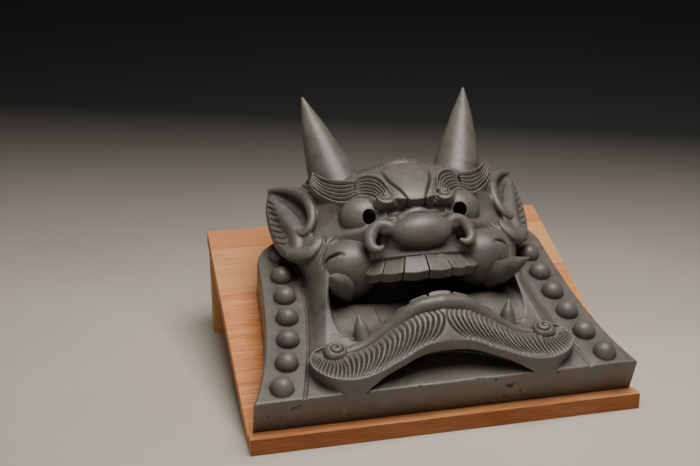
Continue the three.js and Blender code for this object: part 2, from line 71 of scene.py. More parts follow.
class Clay:
    def __init__(self, low, high, cell):
        self.low = np.array(low, float)
        self.cell = cell
        self.count = np.ceil((np.array(high) - self.low) / cell).astype(int) + 1
        self.d = np.full(self.count, 30.0, np.float32)

    def window(self, low, high):
        first = np.maximum(np.floor((np.array(low) - self.low) / self.cell).astype(int), 0)
        last = np.minimum(np.ceil((np.array(high) - self.low) / self.cell).astype(int) + 1, self.count)
        if (last <= first).any():
            return None, None
        part = tuple(slice(a, b) for a, b in zip(first, last))
        axes = [(self.low[i] + self.cell * np.arange(first[i], last[i])).astype(np.float32) for i in range(3)]
        return part, np.meshgrid(*axes, indexing="ij", sparse=True)

    def _apply(self, forms, blend, join):
        for form in forms if isinstance(forms, list) else [forms]:
            reach = blend + 3 * self.cell
            part, grid = self.window(np.array(form.low) - reach, np.array(form.high) + reach)
            if part is None:
                continue
            self.d[part] = join(self.d[part], form.distance(*grid).astype(np.float32), blend)

    def add(self, forms, blend=0.0):
        self._apply(forms, blend, smooth_min)

    def cut(self, forms, blend=0.0):
        self._apply(forms, blend, lambda a, b, k: smooth_max(a, -b, k))

    def press(self, strokes):
        """Grooves pressed into whatever surface is there; where they meet, the deepest one counts."""
        marks = np.zeros_like(self.d)
        for stroke in strokes:
            part, grid = self.window(stroke.low, stroke.high)
            if part is not None:
                marks[part] = np.maximum(marks[part], stroke.distance(*grid))
        self.d += marks


class Form:
    def __init__(self, distance, low, high):
        self.distance = distance
        self.low = low
        self.high = high


def ball(centre, radii, power=2.0):
    centre = np.array(centre, float)
    radii = np.array(radii, float)

    def distance(x, y, z):
        a = np.abs(x - centre[0]) / radii[0]
        b = np.abs(y - centre[1]) / radii[1]
        c = np.abs(z - centre[2]) / radii[2]
        size = (a ** power + b ** power + c ** power) ** (1 / power) + 1e-6
        slope = size ** (1 - power) * np.sqrt(
            (a ** (power - 1) / radii[0]) ** 2 + (b ** (power - 1) / radii[1]) ** 2 + (c ** (power - 1) / radii[2]) ** 2
        )
        return (size - 1) / np.maximum(slope, 0.3 / radii.max())

    return Form(distance, centre - radii, centre + radii)


def curve(points, count=24):
    """A smooth curve through points (centripetal Catmull-Rom), evenly resampled."""
    p = np.array(points, float)
    if len(p) == 2:
        t = np.linspace(0, 1, count)[:, None]
        return p[0] * (1 - t) + p[1] * t
    p = np.vstack([2 * p[0] - p[1], p, 2 * p[-1] - p[-2]])
    knots = np.concatenate([[0], np.cumsum(np.linalg.norm(np.diff(p, axis=0), axis=1) ** 0.5)])
    fine = []
    for i in range(1, len(p) - 2):
        t0, t1, t2, t3 = knots[i - 1:i + 3]
        t = np.linspace(t1, t2, 16, endpoint=(i == len(p) - 3))[:, None]
        a1 = (t1 - t) / (t1 - t0) * p[i - 1] + (t - t0) / (t1 - t0) * p[i]
        a2 = (t2 - t) / (t2 - t1) * p[i] + (t - t1) / (t2 - t1) * p[i + 1]
        a3 = (t3 - t) / (t3 - t2) * p[i + 1] + (t - t2) / (t3 - t2) * p[i + 2]
        b1 = (t2 - t) / (t2 - t0) * a1 + (t - t0) / (t2 - t0) * a2
        b2 = (t3 - t) / (t3 - t1) * a2 + (t - t1) / (t3 - t1) * a3
        fine.append((t2 - t) / (t2 - t1) * b1 + (t - t1) / (t2 - t1) * b2)
    fine = np.vstack(fine)
    along = np.concatenate([[0], np.cumsum(np.linalg.norm(np.diff(fine, axis=0), axis=1))])
    places = np.linspace(0, along[-1], count)
    return np.stack([np.interp(places, along, fine[:, i]) for i in range(fine.shape[1])], axis=1)


def along_list(values, count):
    return np.interp(np.linspace(0, 1, count), np.linspace(0, 1, len(values)), values)


def tube(points, radii, count=24, flat=1.0):
    """A round bar along a smooth curve, with its radius read along the way."""
    path = curve(points, count)
    radius = along_list(radii, count)

    def distance(x, y, z):
        best = None
        for a, b, ra, rb in zip(path[:-1], path[1:], radius[:-1], radius[1:]):
            ab = b - a
            t = ((x - a[0]) * ab[0] + (y - a[1]) * ab[1] + (z - a[2]) * ab[2]) / max(ab @ ab, 1e-9)
            t = np.clip(t, 0, 1)
            gap = np.sqrt((x - a[0] - t * ab[0]) ** 2 + (y - a[1] - t * ab[1]) ** 2 + (z - a[2] - t * ab[2]) ** 2)
            gap = gap - (ra + (rb - ra) * t)
            best = gap if best is None else np.minimum(best, gap)
        return best

    reach = radius.max()
    return Form(distance, path.min(axis=0) - reach, path.max(axis=0) + reach)


def polygon_distance(x, y, outline):
    """Signed distance to a closed outline in the plane, negative inside."""
    best = np.full(np.broadcast(x, y).shape, 1e9)
    inside = np.zeros(best.shape, bool)
    for a, b in zip(outline, np.roll(outline, -1, axis=0)):
        e = b - a
        t = np.clip(((x - a[0]) * e[0] + (y - a[1]) * e[1]) / max(e @ e, 1e-9), 0, 1)
        best = np.minimum(best, (x - a[0] - t * e[0]) ** 2 + (y - a[1] - t * e[1]) ** 2)
        crosses = (a[1] > y) != (b[1] > y)
        with np.errstate(divide="ignore", invalid="ignore"):
            inside ^= crosses & (x < (b[0] - a[0]) * (y - a[1]) / (b[1] - a[1] + 1e-12) + a[0])
    return np.where(inside, -1, 1) * np.sqrt(best)


def slab(outline, low, high, edge=1.0):
    """An outline extruded from one height to another, with rounded edges."""
    outline = np.array(outline, float)

    def distance(x, y, z):
        side = polygon_distance(x[:, :, 0], y[:, :, 0], outline)[:, :, None] + edge
        top = np.abs(z - (low + high) / 2) - (high - low) / 2 + edge
        return np.hypot(np.maximum(side, 0), np.maximum(top, 0)) + np.minimum(np.maximum(side, top), 0) - edge

    return Form(distance, [*outline.min(axis=0), low], [*outline.max(axis=0), high])


def relief(outline, height, floor, edge=1.0, high=60):
    """A mass that fills an outline between two heights; each may be a function of x and y."""
    outline = np.array(outline, float)

    def distance(x, y, z):
        px, py = x[:, :, 0], y[:, :, 0]
        side = polygon_distance(px, py, outline)[:, :, None]
        surface = height(*np.broadcast_arrays(px, py))
        gx, gy = np.gradient(surface) if min(surface.shape) > 1 else (0, 0)
        step = float(px[1, 0] - px[0, 0]) if px.shape[0] > 1 else 1.0
        slope = np.sqrt(1 + (np.clip(gx / step, -3, 3)) ** 2 + (np.clip(gy / step, -3, 3)) ** 2)
        top = (z - surface[:, :, None]) / slope[:, :, None]
        base = floor(*np.broadcast_arrays(px, py))[:, :, None] if callable(floor) else floor
        return smooth_max(smooth_max(side, top, edge), base - z, 0.5)

    low = -30 if callable(floor) else floor
    return Form(distance, [*outline.min(axis=0), low], [*outline.max(axis=0), high])


def groove(points, width, depth, count=16, across=(0, 0, 1), through=7.0):
    """A groove along a curve, measured at right angles to a direction, tapering to its ends."""
    path = curve(points, count)
    across = np.array(across, float) / np.linalg.norm(across)
    widths = along_list(width if isinstance(width, (list, tuple)) else [width, width], count)
    depths = along_list(depth if isinstance(depth, (list, tuple)) else [0.0, depth, depth, 0.0], count)
    reach = widths.max() * 2.2

    def distance(x, y, z):
        gap = None
        deep = None
        for i in range(count - 1):
            a, b = path[i], path[i + 1]
            ab = b - a
            flat = ab - across * (ab @ across)
            px, py, pz = x - a[0], y - a[1], z - a[2]
            level = px * across[0] + py * across[1] + pz * across[2]
            t = np.clip((px * flat[0] + py * flat[1] + pz * flat[2]) / max(flat @ flat, 1e-9), 0, 1)
            qx = px - t * flat[0] - level * across[0]
            qy = py - t * flat[1] - level * across[1]
            qz = pz - t * flat[2] - level * across[2]
            far = np.sqrt(qx ** 2 + qy ** 2 + qz ** 2) / (widths[i] + (widths[i + 1] - widths[i]) * t)
            here = depths[i] + (depths[i + 1] - depths[i]) * t
            if gap is None:
                gap, deep = far, here + 0 * far
            else:
                closer = far < gap
                deep = np.where(closer, here, deep)
                gap = np.where(closer, far, gap)
        # Nothing is pressed at the window's ends, so a stroke never marks the wall below its edge
        return deep * np.exp(-(gap ** 2) * 1.5)

    low = path.min(axis=0) - reach
    high = path.max(axis=0) + reach
    return Form(distance, low - np.abs(across) * through, high + np.abs(across) * through)


def skin(d, low, cell):
    """Quads over the zero level of a grid of signed distances: naive surface nets."""
    inside = d < 0
    corners = np.zeros(np.array(d.shape) - 1, np.int8)
    for i in (0, 1):
        for j in (0, 1):
            for k in (0, 1):
                corners += inside[i:i + corners.shape[0], j:j + corners.shape[1], k:k + corners.shape[2]]
    cells = np.argwhere((corners > 0) & (corners < 8))
    number = np.full(corners.shape, -1, np.int32)
    number[tuple(cells.T)] = np.arange(len(cells))
    total = np.zeros((len(cells), 3))
    crossings = np.zeros(len(cells))
    for axis in range(3):
        others = [a for a in range(3) if a != axis]
        for p in (0, 1):
            for q in (0, 1):
                start = cells.copy()
                start[:, others[0]] += p
                start[:, others[1]] += q
                end = start.copy()
                end[:, axis] += 1
                a = d[tuple(start.T)].astype(float)
                b = d[tuple(end.T)].astype(float)
                cross = (a < 0) != (b < 0)
                t = np.where(cross, a / np.where(cross, a - b, 1), 0)
                spot = start.astype(float)
                spot[:, axis] += t
                total[cross] += spot[cross]
                crossings[cross] += 1
    points = low + cell * total / crossings[:, None]
    quads = []
    for axis in range(3):
        others = [a for a in range(3) if a != axis]
        near = [slice(1, -1)] * 3
        near[axis] = slice(0, -1)
        far = list(near)
        far[axis] = slice(1, None)
        a = inside[tuple(near)]
        b = inside[tuple(far)]
        spots = np.argwhere(a != b)
        flips = a[tuple(spots.T)]
        spots[:, others[0]] += 1
        spots[:, others[1]] += 1
        ring = []
        for p, q in ((-1, -1), (0, -1), (0, 0), (-1, 0)):
            at = spots.copy()
            at[:, others[0]] += p
            at[:, others[1]] += q
            ring.append(number[tuple(at.T)])
        ring = np.stack(ring, axis=1)
        if axis == 1:
            flips = ~flips
        ring[~flips] = ring[~flips][:, ::-1]
        quads.append(ring)
    return points, np.vstack(quads)


def turned(form, pivot, about_x=0.0, about_y=0.0, about_z=0.0, shift=(0, 0, 0)):
    """A form turned about a point (degrees, X then Y then Z) and then moved."""
    a, b, c = (math.radians(v) for v in (about_x, about_y, about_z))
    rx = np.array([[1, 0, 0], [0, math.cos(a), -math.sin(a)], [0, math.sin(a), math.cos(a)]])
    ry = np.array([[math.cos(b), 0, math.sin(b)], [0, 1, 0], [-math.sin(b), 0, math.cos(b)]])
    rz = np.array([[math.cos(c), -math.sin(c), 0], [math.sin(c), math.cos(c), 0], [0, 0, 1]])
    m = rz @ ry @ rx
    pivot = np.array(pivot, float)
    shift = np.array(shift, float)
    corners = np.array([[x, y, z] for x in (form.low[0], form.high[0]) for y in (form.low[1], form.high[1])
                        for z in (form.low[2], form.high[2])], float)
    spots = (corners - pivot) @ m.T + pivot + shift

    def distance(x, y, z):
        x, y, z = x - pivot[0] - shift[0], y - pivot[1] - shift[1], z - pivot[2] - shift[2]
        px = m[0, 0] * x + m[1, 0] * y + m[2, 0] * z + pivot[0]
        py = m[0, 1] * x + m[1, 1] * y + m[2, 1] * z + pivot[1]
        pz = m[0, 2] * x + m[1, 2] * y + m[2, 2] * z + pivot[2]
        return form.distance(px, py, pz)

    return Form(distance, spots.min(axis=0), spots.max(axis=0))


def solid_slab(outline, low, high, edge=1.0):
    """Like slab, but usable on a turned grid."""
    outline = np.array(outline, float)

    def distance(x, y, z):
        side = polygon_distance(x, y, outline) + edge
        top = np.abs(z - (low + high) / 2) - (high - low) / 2 + edge
        return np.hypot(np.maximum(side, 0), np.maximum(top, 0)) + np.minimum(np.maximum(side, top), 0) - edge

    return Form(distance, [*outline.min(axis=0), low], [*outline.max(axis=0), high])


def hollow(outline, floor, roof, edge=2.0, low=-15, high=70):
    outline = np.array(outline, float)

    def distance(x, y, z):
        px, py = x[:, :, 0], y[:, :, 0]
        px, py = np.broadcast_arrays(px, py)
        side = polygon_distance(px, py, outline)[:, :, None]
        below = floor(px, py)[:, :, None] - z
        above = z - roof(px, py)[:, :, None]
        return smooth_max(smooth_max(side, below, edge), above * 0.8, edge)

    return Form(distance, [*outline.min(axis=0), low], [*outline.max(axis=0), high])


def table(points):
    """A smooth function of one number through given pairs."""
    p = np.array(points, float)

    def value(x):
        return np.interp(x, p[:, 0], p[:, 1])

    return value


def smooth_table(points):
    fine = curve([(a, b, 0) for a, b in points], 80)
    return lambda x: np.interp(x, fine[:, 0], fine[:, 1])

# The carving, one part of the face at a time


def between(a, b, t):
    return a + (b - a) * t


def mean_plane(points, bulge=0.0):
    """A height over x and y: the plane that fits the points best."""
    p = np.array(points, float)
    fit = np.linalg.lstsq(np.c_[np.ones(len(p)), p[:, :2]], p[:, 2], rcond=None)[0]
    return lambda x, y: fit[0] + bulge + fit[1] * x + fit[2] * y


def half_width(y):
    """The plate's half width: a waist that flares towards the foot."""
    return 120.5 + 29.5 * np.exp(-y / 62)


def plate(tile):
    sides = [(half_width(y), y) for y in np.linspace(0, 148, 24)]
    turns = np.linspace(0.05, math.pi / 2, 10)
    shoulder = [(half_width(148) - 33.4 + 33.4 * math.cos(a), 148 + 33.4 * math.sin(a)) for a in turns]
    tile.add(slab([(-20, 0)] + sides + shoulder + [(-20, 181.4)], -33.4, 0, 1.8))
    rail = [(113.2, -4), (106.5, 21), (100.8, 45), (97.4, 65), (94, 84), (92.5, 104), (91, 122), (89.7, 139)]
    tile.cut(tube([(x, y, 0.5) for x, y in rail], [1.7, 1.7], 24), 0.3)
    for i in range(7):
        y = 12.6 + 24.1 * i
        size = 8.9 if i < 6 else 7.4
        tile.add(ball((half_width(y) - 17.8, y, 0.3), (size, size, size + 0.4)), 0.3)


def head(tile):
    tile.add(ball((0, 161, 8), (80, 47, 62), 2.7), 1)
    tile.add(ball((0, 126, 2), (62, 36, 38), 2.5), 6)
    # Jaw sides fall from a crest beside the mouth to the rail groove
    crest_x = smooth_table([(38, 87), (58, 83.5), (76, 80.5), (92, 78), (106, 75), (120, 72), (134, 69), (150, 66)])
    crest_h = smooth_table([(38, 4), (58, 8), (76, 12), (92, 18), (106, 27), (120, 34), (134, 38), (150, 40)])
    foot_x = smooth_table([(38, 100), (50, 98.5), (65, 95.5), (84, 92.5), (104, 91), (122, 90), (139, 89), (150, 88)])

    def height(x, y):
        crest, top, foot = crest_x(y), crest_h(y), foot_x(y)
        t = np.clip((x - crest) / (foot - crest), 0, 1.2)
        inner = np.clip((crest - x) / 30, 0, 1)
        return np.where(x > crest, top * (1 - t ** 1.6) + 0.3 * (1 - t), top + 5 * inner)

    outline = [(40, 38), (100, 38)] + [(float(foot_x(y)) + 1, y) for y in np.linspace(50, 150, 10)] + [(40, 150)]
    tile.add(relief(outline, height, -5, 3, high=60), 3)
    tile.add(tube([(72, 134, 12), (71, 146, 16), (66, 160, 22)], [20, 22, 23], 8), 8)


def lip_y(x):
    return 95.5 + 17 * (x / 46) ** 2


def lip_h(x):
    return 45.5 - 16.5 * (x / 46) ** 2


def mouth(tile):
    deep = smooth_table([(38, 3.5), (60, 3.5), (78, 2.8), (90, 0), (100, -7), (112, -18), (122, -22)])
    outline = [(-10, 40), (52, 40), (68, 45), (77, 54), (78.5, 66), (77.5, 80), (76.5, 92), (73.5, 102), (68, 110), (58, 118), (40, 121), (-10, 121)]
    tile.cut(hollow(outline, lambda x, y: deep(y) + 0.0016 * np.maximum(x - 20, 0) ** 2, lambda x, y: 80 + 0 * x, 4), 1.0)
    # Upper jaw: a thick lip bowed round the teeth
    edge = [(x, lip_y(x)) for x in np.linspace(0, 52, 12)]
    tile.add(relief([(-10, 95.5)] + edge + [(64, 128), (60, 134), (-10, 136)],
                    lambda x, y: lip_h(x) + 0.16 * (y - lip_y(x)),
                    lambda x, y: lip_h(x) - 11 - 0.55 * (y - lip_y(x)), 0.9), 0.8)
    tile.add(ball((55.5, 116.5, 16.5), (24.5, 21.5, 25.5), 2.1), 0.8)
    # Folds round the cheek and the mouth's corner
    folds = [([(79, 108, 25), (77, 112.2, 30), (74, 113.3, 33.5), (69.2, 112.6, 37), (63.4, 112, 37.5), (60.5, 108.5, 38)], [0.9, 1.3, 1.7, 1.4], 3.4),
             ([(80, 109.5, 23), (78.2, 116.5, 29), (74.9, 122.5, 33.8), (69, 129.4, 37.2), (59.4, 133, 42.7)], [0.9, 1.2, 1.0], 1.6),
             ([(82, 117, 26), (76, 124.5, 33), (72.3, 132.6, 36.4), (73.6, 140.4, 36.1), (71.9, 144.5, 37.7)], [0.8, 0.9, 0.8], 1.2)]
    tile.press([groove(path, width, depth, 20, (0.45, -0.4, 0.8)) for path, width, depth in folds])
    # Lower jaw behind the lip, easing into the mouth's floor
    tile.add(relief([(-10, 38), (70, 34), (74, 44), (68, 56), (50, 64), (-10, 76)],
                    lambda x, y: np.maximum(38 - 33 * (x / 58) ** 2, 4) - 1.5 * np.maximum(y - 50 + 0.02 * x, 0) - 2, -5, 3), 7)


def teeth(tile):
    # Upper teeth hang from under the lip and flare outwards
    roots = [(0, 91.3, 44.0), (16.9, 94.7, 41.0), (30.6, 101, 35.0), (42.3, 105.5, 29.5)]
    tips = [(0, 80.9, 41.2), (20.1, 84.0, 38.8), (35.1, 90.8, 33.2), (47.5, 99.0, 26.5)]
    for (root_a, tip_a), (root_b, tip_b) in zip(zip(roots[:-1], tips[:-1]), zip(roots[1:], tips[1:])):
        face = mean_plane([root_a, root_b, tip_a, tip_b])
        root_a, root_b, tip_a, tip_b = (np.array(p[:2], float) for p in (root_a, root_b, tip_a, tip_b))
        root_a, root_b = (root + (root - tip) * 0.6 for root, tip in ((root_a, tip_a), (root_b, tip_b)))
        along = (tip_b - tip_a) / np.linalg.norm(tip_b - tip_a)
        down = np.array([along[1], -along[0]])
        scallop = [between(tip_a, tip_b, t) + down * 1.5 * math.sin(math.pi * t) for t in np.linspace(0.02, 0.98, 7)]
        tile.add(relief([root_a + along * 0.2, *scallop, root_b - along * 0.2], face, lambda x, y: face(x, y) - 9, 0.9), 0.0)
    # Lower teeth barely rise behind the lip
    level = table([(0, 41.5), (15, 38.5), (28, 31), (38, 24.5), (50, 16)])
    for a, b in ((-8.8, 8.8), (9.2, 23.6), (24, 34), (34.4, 43)):
        x = (a + b) / 2
        w = (b - a) / 2
        lean = math.degrees(math.atan2(float(level(a)) - float(level(b)), b - a))
        shape = [(-w, -6), (w, -6), (w, 1.6), (w * 0.6, 2.6), (-w * 0.6, 2.6), (-w, 1.6)]
        tooth = turned(solid_slab(shape, -9, 1.5, 0.7), (0, 0, 0), about_x=14, about_y=lean,
                       shift=(x, 53.2 - 0.0035 * x * x, float(level(x)) - 0.5))
        tile.add(tooth, 0.1)
    tile.add(tube([(61, 100, 8), (65, 94, 19), (72, 86.5, 33), (80, 79.5, 45.5)], [8.6, 9.0, 6.4, 0.6], 40), 0.4)
    tile.add(tube([(57.5, 46, 4), (59, 53, 12), (60.6, 60, 21.8)], [7.4, 5.4, 0.3], 20), 0.6)


ARCH_HALF = 65


def beard(tile):
    top_y = smooth_table([(0, 40), (11, 43), (20, 42.5), (33, 40.3), (44, 37), (55, 33.5), (67, 31.4), (76, 31.5), (110, 31.5)])
    foot_y = smooth_table([(0, 17), (15, 16.8), (25, 14.5), (34, 11), (45, 8), (56, 4.5), (67, 3), (75, 3), (110, 6)])
    top_h = smooth_table([(0, 37.5), (20, 33.5), (40, 23), (60, 13.5), (76, 9.6), (110, 8.6)])
    foot_h = smooth_table([(0, 26.7), (20, 24), (40, 18.5), (60, 13.5), (74, 12), (110, 11.5)])

    def height(x, y):
        t = np.clip((y - foot_y(x)) / (top_y(x) - foot_y(x)), 0, 1.15)
        return foot_h(x) + (top_h(x) - foot_h(x)) * t + 1.6 * np.sin(np.pi * np.clip(t, 0, 1))

    foot = [(0, 17), (15, 16.8), (25, 14.5), (34, 11), (45, 8), (56, 4.5), (67, 2.6), (75, 2.4), (82, 3.6), (92, 7.5),
            (99.4, 14), (103.5, 22), (103.3, 32), (99, 39.5), (92, 43)]
    top = [(84, 44), (78, 38), (76, 33), (67, 32), (55, 34), (44, 37.5), (33, 41), (20, 43.5), (11, 44), (0, 41)]
    foot = [tuple(p) for p in curve([(*p, 0) for p in foot], 50)[:, :2]]
    tile.add(relief([(-10, 17)] + foot + top + [(-10, 41)], height, -4, 1.0, high=50), 0.2)
    # The wall under the beard's foot runs out into the plate, and at the lowest places into its front face
    wall = smooth_table([(46, 7.8), (56, 4.5), (67, 2.6), (75, 2.4), (82, 3.6), (88, 5.6), (92, 7.5)])
    spread = lambda x: np.clip((x - 48) / 10, 0, 1) * np.clip((92 - x) / 10, 0, 1)
    low = lambda x: np.maximum(wall(x) - 3.6 * spread(x), -1.0)
    skirt = lambda x, y: 10.8 * np.clip((y - low(x)) / (wall(x) + 0.6 - low(x)), 0, 1) ** 1.7 - 0.2
    reach = np.linspace(48, 92, 20)
    rim = [(x, max(float(low(x)), 0.1)) for x in reach] + [(x, float(wall(x)) + 2.0) for x in reach[::-1]]
    tile.add(relief(rim, skirt, -4, 0.4, high=20), 0.2)
    strokes = []
    for i in range(19):
        x = 4.4 + 3.95 * i
        lean = 8.8 + 3.0 * min(i / 6, 1) - 1.7 * max(i - 12, 0)
        a = np.array([x, float(top_y(x)) - 1.0])
        b = np.array([x + lean, float(foot_y(min(x + lean, 80))) + 2.0])
        bow = 1 - 0.1 * max(i - 11, 0)
        m1 = between(a, b, 0.28) + np.array([-5.6 * bow, 0.6])
        m2 = between(a, b, 0.62) + np.array([-5.4 * bow, -1.0])
        path = [(*p, float(height(*p))) for p in (a, m1, m2, b)]
        strokes.append(groove(path, [0.65, 0.9, 0.9, 0.65], [0.4, 2.5, 2.5, 0.8], 14, through=3.4))
    knob = np.array([83.0, 34.5])
    fan = curve([(80, 3.2, 0), (86, 4.9, 0), (92, 7.5, 0), (99.4, 14, 0), (103.5, 22, 0), (103.3, 32, 0), (100.5, 37, 0)], 15)
    for i, rim in enumerate(fan[:, :2]):
        a = math.radians(-112 + i * 12)
        near = knob + 8.8 * np.array([math.cos(a), math.sin(a)])
        far = between(rim, near, 0.08)
        bow = min(0.4 * i - 2.4, 1.6)
        middle = (near + far) / 2 + bow * np.array([-math.sin(a), math.cos(a)])
        strokes.append(groove([(*near, 10), (*middle, 11.5), (*far, 11)], 0.8, [0.8, 2.3, 2.1, 0.6], 8, through=3.4))
    tile.press(strokes)
    # The arched hollow under the beard, over the plate's foot
    rise = lambda x: np.clip(1 - (x / ARCH_HALF) ** 2, 0, 1)
    depth = lambda x: 3 + 31 * rise(x)
    roof = lambda x, y: 0.6 + 16.5 * rise(x) * np.sqrt(np.clip(1.02 - (y / depth(x)) ** 4, 0, 1))
    scoop = lambda x, y: -2.6 * np.clip((y - 2.2) / 20, 0, 1) ** 1.1 * rise(x)
    reach = np.linspace(ARCH_HALF, -10, 16)
    arch = [(-10, -2), (ARCH_HALF, -2)] + [(x, float(depth(x))) for x in reach]
    tile.cut(hollow(arch, scoop, roof, 0.8), 0.3)
    # Lower lip roll, from one knob to the other
    lip = [(0, 47, 38), (18, 47.5, 34), (38, 43.5, 20.5), (58, 38, 9), (76, 35.5, 4.5)]
    tile.add(tube(lip, [6.2, 6.2, 6.0, 5.2, 4.4], 24), 0.3)
    tile.add(ball((83, 34.5, 8.5), (8.7, 8.7, 6.8), 2.4), 0.1)
    spiral = []
    for i in range(30):
        t = i / 29
        a = math.radians(60) + t * 2 * math.pi * 1.7
        reach = 7.0 * (1 - 0.95 * t)
        spiral.append((knob[0] + reach * math.cos(a), knob[1] + reach * math.sin(a), 13))
    tile.press([groove(spiral, 0.75, [0.5, 1.9, 1.9, 1.4], 40)])


def nose(tile):
    tile.add(ball((0, 119, 43), (32, 14, 17)), 4)
    tile.cut(ball((31, 111, 55), (6.5, 7.0, 13)), 1.0)
    tile.add(ball((0, 112.3, 54.5), (25, 14.6, 14.6), 1.9), 0.8)
    tile.add(tube([(15, 113, 56), (24, 116.5, 55), (29, 118.5, 53)], [8, 5.0, 4.2], 8), 1.5)
    wing = [(20, 114, 56), (25, 118.5, 57), (31, 120.8, 57), (37, 119.5, 53.5), (41, 113.5, 49), (40.3, 107, 46.5), (36, 104.5, 46), (32.5, 106.3, 46.5)]
    tile.add(tube(wing, [5.0, 4.4, 4.4, 5.0, 5.2, 4.6, 3.6, 2.0], 26), 0.8)


def eyes(tile):
    socket = [(30, 134, 70), (44, 134, 66), (66, 136, 62), (88, 140, 54)]
    tile.cut(tube(socket, [11, 17, 21, 22], 12), 4)
    tile.add(ball((38.6, 145, 46.5), (20.5, 17, 17)), 0.3)
    tile.cut(tube([(37.2, 131, 60), (38.8, 138.5, 46)], [5.5, 5.7], 3), 0.3)


def forehead(tile):
    tile.add(ball((0, 156, 59.5), (25, 30, 15.0), 2.8), 1.5)
    tile.add(ball((22, 158, 56), (17, 24, 15.0), 2.6), 2)
    tile.cut(slab([(-30, 112), (21, 112), (24, 131), (20.5, 136.6), (16, 136), (12, 134.4), (7, 132.8), (0, 132), (-30, 132)],
                  58, 90, 0.8), 0.4)
    tile.add(tube([(-14, 128.5, 56), (0, 129.2, 60.5), (14, 128, 56)], [3.6, 4.4, 3.6], 10), 0.6)
    valley = [(20.7, 176, 71.5), (17, 156, 73.6), (11, 142, 73), (6.5, 131.5, 73)]
    tile.press([groove(valley, [0.9, 1.3, 1.2, 0.8], [0.3, 2.6, 3.0, 1.6], 16)])
    tile.add(tube([(16, 142, 58), (30, 152, 57), (46, 160, 50), (60, 168, 44), (72, 178, 45)], [8, 8, 8.5, 9.5, 8], 16), 4)


def brows(tile):
    inner_top = [(44, 163.5, 69), (40, 168, 71), (32, 166, 74), (24.3, 159, 74), (21.0, 151.3, 74), (18.8, 142, 74)]
    inner_low = [(44.5, 150.8, 61), (39, 148.8, 61.5), (34, 144.5, 63), (31, 139.5, 64), (30, 136, 65), (29.5, 133, 66)]
    wing_top = [(44, 163.7, 69.5), (52, 167.2, 70), (60, 171.2, 69.5), (68, 177.0, 67.5), (74.2, 183.4, 65.5)]
    wing_low = [(44.5, 150.6, 60.5), (52, 150.3, 58), (60, 154.5, 56.5), (68, 161.8, 56.2), (74.5, 169.5, 57.5), (78, 177, 60)]
    for upper, lower, parts in ((inner_top, inner_low, 7), (wing_top, wing_low, 6)):
        u = curve(upper, 24)
        l = curve(lower, 24)
        outline = np.vstack([u[:, :2], l[::-1, :2]])
        top = mean_plane(upper + lower, 0.5)
        body = relief(outline, top, lambda x, y: top(x, y) - 9, 0.9, high=82)
        tile.add(body, 0.3)
        lines = [between(u, l, i / parts)[:-1] for i in range(1, parts)]
        tile.press([groove(line, [0.7, 0.95, 0.95, 0.7], [1.2, 2.3, 2.3, 1.0], 20, through=3.2) for line in lines])
    # Curled knob and the fan of ridges wrapped under it
    for j in range(4):
        arc = []
        for a in np.linspace(0.05 * math.pi, -0.97 * math.pi, 11):
            reach = 6.2 + (0.6 * j if math.cos(a) > 0 else 2.0 * j)
            arc.append((24 + reach * math.cos(a), 138.6 + (6.4 - 0.4 * j) * math.sin(a), 69.8 - 2.2 * j))
        tile.add(tube(arc, [1.3, 1.45, 1.45, 0.9], 16), 0.1)
    tile.add(tube([(30, 139, 58), (24, 138, 56), (15, 138, 57)], [5, 6.5, 5], 10), 0.5)
    tile.add(tube([(24, 139, 60), (24, 138.2, 69)], [6.2, 5.5], 3), 0.3)
    swirl = []
    for i in range(20):
        t = i / 19
        a = math.radians(200) - t * 2 * math.pi * 1.3
        swirl.append((24 + 4.6 * (1 - 0.9 * t) * math.cos(a), 138 + 4.6 * (1 - 0.9 * t) * math.sin(a), 74))
    tile.press([groove(swirl, 0.65, [0.4, 1.5, 1.5, 1.0], 30, (0, -0.35, 0.93))])


def horns(tile):
    tile.add(tube([(48, 177, 36), (55.5, 200, 53), (61.5, 219, 68.5), (66.7, 236, 81.5), (70.8, 251.5, 93)],
                  [24, 19.8, 14.8, 8.8, 1.3], 48), 0.6)


def hair(tile):
    tile.add(tube([(-36, 183, 56), (0, 188.5, 63.8), (36, 183, 56)], [5, 6.2, 5], 16), 3)
    locks = []
    for i in range(17):
        x = 1.1 + 2.2 * i
        drop = 6 * (x / 36) ** 2
        locks.append(groove([(x, 181 - drop, 62), (x * 1.02, 188 - drop, 66), (x * 1.04, 196 - drop, 62)], 0.7, 1.5, 6, (0, 0.5, 0.85)))
    tile.press(locks)
    # Combed hair at each side, between the horn and the ear
    slope = lambda x, y: 45.5 - 0.5 * (x - 72)
    side = [(58, 170), (60, 200), (68, 205), (73, 203.6), (81, 199), (88, 193.5), (93, 184), (90, 172), (76, 166)]
    tile.add(relief(side, slope, lambda x, y: slope(x, y) - 24, 1.6), 1.0)
    combed = []
    for k in range(6):
        path = [(91 - 3.6 * k, 192.5 + 2.5 * k), (86.5 - 3.6 * k, 184.5 + 2.5 * k), (81.5 - 3.6 * k, 173 + 2.5 * k)]
        combed.append(groove([(x, y, float(slope(x, y))) for x, y in path], 0.7, [1.2, 1.8, 1.8, 0.8], 10, (0.4, 0.2, 0.9), 3))
    tile.press(combed)


